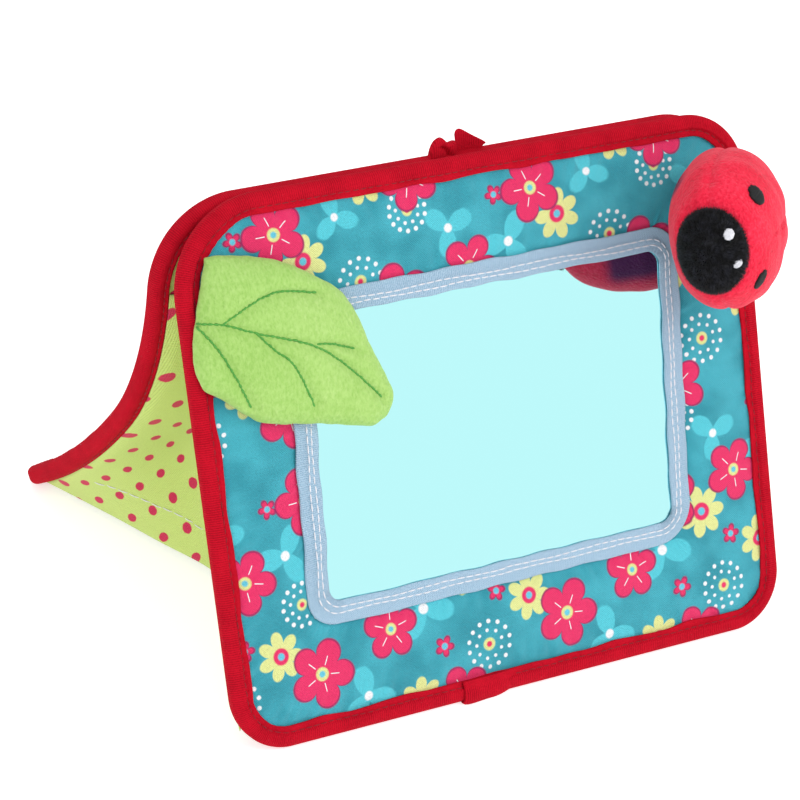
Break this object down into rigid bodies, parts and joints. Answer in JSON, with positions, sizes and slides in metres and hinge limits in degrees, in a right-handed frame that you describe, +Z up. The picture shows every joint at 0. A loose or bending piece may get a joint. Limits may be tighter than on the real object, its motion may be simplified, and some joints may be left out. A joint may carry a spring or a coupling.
{
  "type": "fabric baby mirror",
  "caption": "Soft fold-out floor mirror for a baby: padded cloth panels with bound edges, a webbing-framed mirror sheet, a leaf flap and a plush ladybird.",
  "frame": {"origin": "on the floor, in the middle of the front panel's foot", "axes": "+X to the right along the foot as the mirror is looked into, +Y back towards the stand panel, +Z up"},
  "size_m": [0.251, 0.1866, 0.1922],
  "materials": {
    "red_tape": "ribbed cotton tape",
    "printed_cotton": "printed cotton",
    "dotted_cotton": "polka-dot cotton",
    "wadding_fleece": "polyester wadding",
    "stiffener_sheet": "felted stiffener",
    "mirror_face": "soft mirror film",
    "blue_webbing": "woven webbing",
    "green_velour": "velour",
    "red_plush": "short plush",
    "black_fur": "short plush",
    "white_thread": "satin-stitched thread"
  },
  "bodies": {
    "front_panel": {"front_cover": "printed_cotton", "front_wadding": "wadding_fleece", "front_stiffener": "stiffener_sheet", "front_lining": "dotted_cotton", "front_binding": "red_tape", "front_binding_lap": "red_tape", "mirror_sheet": "mirror_face", "webbing_frame": "blue_webbing", "gusset_left": "dotted_cotton", "gusset_right": "dotted_cotton"},
    "back_upper": {"back_cover_upper": "printed_cotton", "back_wadding_upper": "wadding_fleece", "back_lining_upper": "dotted_cotton", "back_binding_upper": "red_tape", "top_tape_fold": "red_tape", "top_tape_end": "red_tape"},
    "back_lower": {"back_cover_lower": "printed_cotton", "back_wadding_lower": "wadding_fleece", "back_lining_lower": "dotted_cotton", "back_binding_lower": "red_tape"},
    "leaf": {"leaf_top": "green_velour", "leaf_underside": "green_velour", "leaf_wadding": "wadding_fleece"},
    "ladybird": {"ladybird_shell_left": "red_plush", "ladybird_shell_right": "red_plush", "ladybird_belly": "red_plush", "ladybird_head": "black_fur", "ladybird_eye_left": "white_thread", "ladybird_eye_right": "white_thread", "ladybird_spot_front_left": "black_fur", "ladybird_spot_front_right": "black_fur", "ladybird_spot_rear_left": "black_fur", "ladybird_spot_rear_right": "black_fur", "ladybird_stuffing": "wadding_fleece"}
  },
  "joints": [
    {"name": "stand_fold", "type": "hinge", "parent": "front_panel", "child": "back_upper", "pos_m": [0, 0.09109, 0.17918], "axis": [-1, 0, 0], "range_deg": [0, 15.4], "deforming": ["gusset_left", "gusset_right"]},
    {"name": "back_flex", "type": "hinge", "parent": "back_upper", "child": "back_lower", "pos_m": [0, 0.09065, 0.11541], "axis": [-1, 0, 0], "range_deg": [0, 45.5], "deforming": ["gusset_left", "gusset_right"]},
    {"name": "leaf_flap", "type": "hinge", "parent": "front_panel", "child": "leaf", "pos_m": [-0.1225, 0.06509, 0.13993], "axis": [0, -0.4587, -0.8886], "range_deg": [0, 150]},
    {"name": "ladybird_lift", "type": "hinge", "parent": "front_panel", "child": "ladybird", "pos_m": [0.1175, 0.0707, 0.15189], "axis": [0, 0.4587, 0.8886], "range_deg": [0, 40]}
  ],
  "couplings": [
    {"joint": "back_flex", "follows": "stand_fold", "ratio": 2.955}
  ]
}
